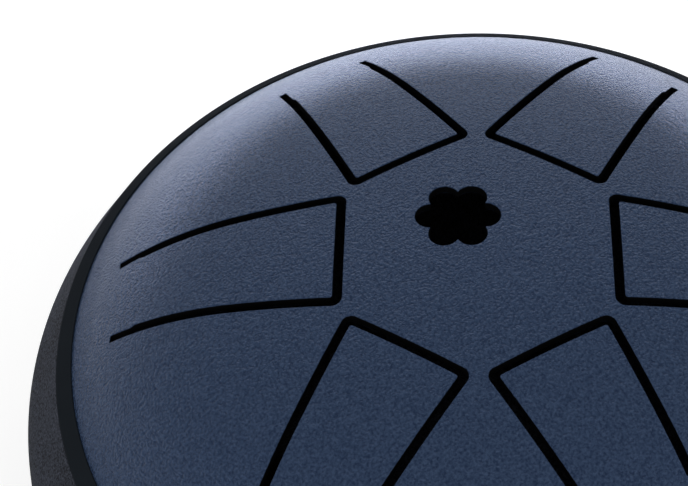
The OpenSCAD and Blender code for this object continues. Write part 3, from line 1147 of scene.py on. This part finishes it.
# One bar of the cross that cuts the recess, narrower at its top
def crossBar(name, screw, long, wide):
    bm = bmesh.new()
    bmesh.ops.create_cube(bm, size=1)
    for vert in bm.verts:
        isTop = vert.co.z > 0
        narrow = screw["crossTaper"] if isTop else 1.0
        vert.co.x *= long * narrow * mm
        vert.co.y *= wide * narrow * mm
        vert.co.z = (screw["headLow"] + (screw["recess"] if isTop else -screw["over"])) * mm
    return meshFrom(name, bm)


headMesh = turnedMesh("footScrews", roundedSection([
    (0, screwSet["headLow"]),
    (screwSet["head"], screwSet["headLow"], screwSet["headRound"]),
    (screwSet["head"], screwSet["headTop"], screwSet["brimRound"]),
    (0, screwSet["headTop"]),
], screwSet["roundSteps"]), screwSet["headSteps"])
footScrews = newPiece("footScrews", headMesh)
crossLong, crossWide = screwSet["crossLong"], screwSet["crossWide"]
helpers = [
    ("UNION", threadedShank("shank", screwSet)),
    ("DIFFERENCE", crossBar("crossA", screwSet, crossLong, crossWide)),
    ("DIFFERENCE", crossBar("crossB", screwSet, crossWide, crossLong)),
]
for operation, mesh in helpers:
    helper = bpy.data.objects.new(mesh.name, mesh)
    modifier = footScrews.modifiers.new(mesh.name, "BOOLEAN")
    modifier.operation = operation
    modifier.object = helper
    modifier.solver = "EXACT"
    makePlain(footScrews)
    bpy.data.objects.remove(helper)
runTree(footScrews, atTheFeet, {**circleSet, "Most turn": math.pi / 2, "Finish": screwZinc})
finishPiece(
    footScrews,
    ["foot_screw_1", "foot_screw_2", "foot_screw_3", "foot_screw_4"],
)
print("pieces made")


# Stage: a pale floor, a soft room and one lamp for the floor behind the drum
stageSet = {
    "floor": 6.0,  # metres
    "floorColour": "#d8d8d8",
    "floorRoughness": 0.9,
    "floorGlow": 0.6,  # seen by the camera, so that the floor reads white
    "floorGloss": 0.18,  # seen in reflections
    "room": 0.65,  # light on the object, where 1 is white
    "panels": (66, 206, -74),  # degrees round the object, low in the room
    "fadeStart": 20,  # degrees from a panel's middle between which it fades
    "fadeEnd": 33,
    "farRoom": 0.13,  # seen in reflections away from the panels
}


# In a tree, a level of light that is another one for some kinds of ray
def rayLevel(tree, level, seen, mirrored):
    light = addNode(tree, "ShaderNodeLightPath").outputs
    for ray, other in {
        "Is Camera Ray": seen, "Is Transmission Ray": seen, "Is Glossy Ray": mirrored
    }.items():
        level = addNode(
            tree, "ShaderNodeMix", {}, {"Factor": light[ray], "A": level, "B": other}
        ).outputs["Result"]
    return level


def paleFloor(look):
    material, tree = newMaterial("paleFloor")
    glow = rayLevel(tree, 0.0, look["floorGlow"], look["floorGloss"])
    return endMaterial(
        material, [],
        {"Base Color": linearColour(look["floorColour"]), "Roughness": look["floorRoughness"],
         "Specular IOR Level": 0.0, "Emission Color": (1, 1, 1, 1), "Emission Strength": glow},
    )


half = stageSet["floor"] / 2
floorMesh = bpy.data.meshes.new("floor")
floorMesh.from_pydata(
    [(-half, -half, 0), (half, -half, 0), (half, half, 0), (-half, half, 0)], [], [(0, 1, 2, 3)]
)
floor = newPiece("floor", floorMesh)
floorMesh.materials.append(paleFloor(stageSet))

# The room is white to the camera, and lights the object at a plain level. In reflections it is
# dim, with a white panel behind the object and two more round it.
room = bpy.data.worlds.new("softRoom")
scene.world = room
room.use_nodes = True
roomTree = room.node_tree
roomTree.nodes.clear()
roomWay = addNode(roomTree, "ShaderNodeTexCoord").outputs["Generated"]
nearest = -1.0
for degrees in stageSet["panels"]:
    turn = math.radians(degrees)
    toPanel = addNode(
        roomTree, "ShaderNodeVectorMath", {"operation": "DOT_PRODUCT"},
        {0: roomWay, 1: (math.cos(turn), math.sin(turn), 0)},
    ).outputs["Value"]
    nearest = addNode(
        roomTree, "ShaderNodeMath", {"operation": "MAXIMUM"}, {0: nearest, 1: toPanel}
    ).outputs[0]
panels = addNode(
    roomTree, "ShaderNodeMapRange", {"interpolation_type": "SMOOTHSTEP"},
    {"Value": nearest, "From Min": math.cos(math.radians(stageSet["fadeEnd"])),
     "From Max": math.cos(math.radians(stageSet["fadeStart"])),
     "To Min": stageSet["farRoom"], "To Max": 1.0},
).outputs["Result"]
roomShader = addNode(
    roomTree, "ShaderNodeBackground", {},
    {"Color": (1, 1, 1, 1), "Strength": rayLevel(roomTree, stageSet["room"], 1.0, panels)},
)
addNode(roomTree, "ShaderNodeOutputWorld", {}, {"Surface": roomShader.outputs["Background"]})

# The lamp faces the floor close behind the drum, whose back mirrors what it lights there.
# Place, aim and size in metres, power in watts.
lampSet = {"place": (0.118, 0.165, 0.06), "aim": (0.13, 0.193, 0), "size": (0.42, 0.06),
           "power": 0.92, "colour": "#d8e2ff"}
light = bpy.data.lights.new("behind", "AREA")
light.shape = "RECTANGLE"
light.size, light.size_y = lampSet["size"]
light.energy = lampSet["power"]
light.color = linearColour(lampSet["colour"])[:3]
lamp = bpy.data.objects.new("behind", light)
lamp.location = lampSet["place"]
toAim = Vector(lampSet["aim"]) - Vector(lampSet["place"])
lamp.rotation_euler = toAim.to_track_quat("-Z", "Y").to_euler()
lamp.visible_camera = False
scene.collection.objects.link(lamp)
print("stage set")
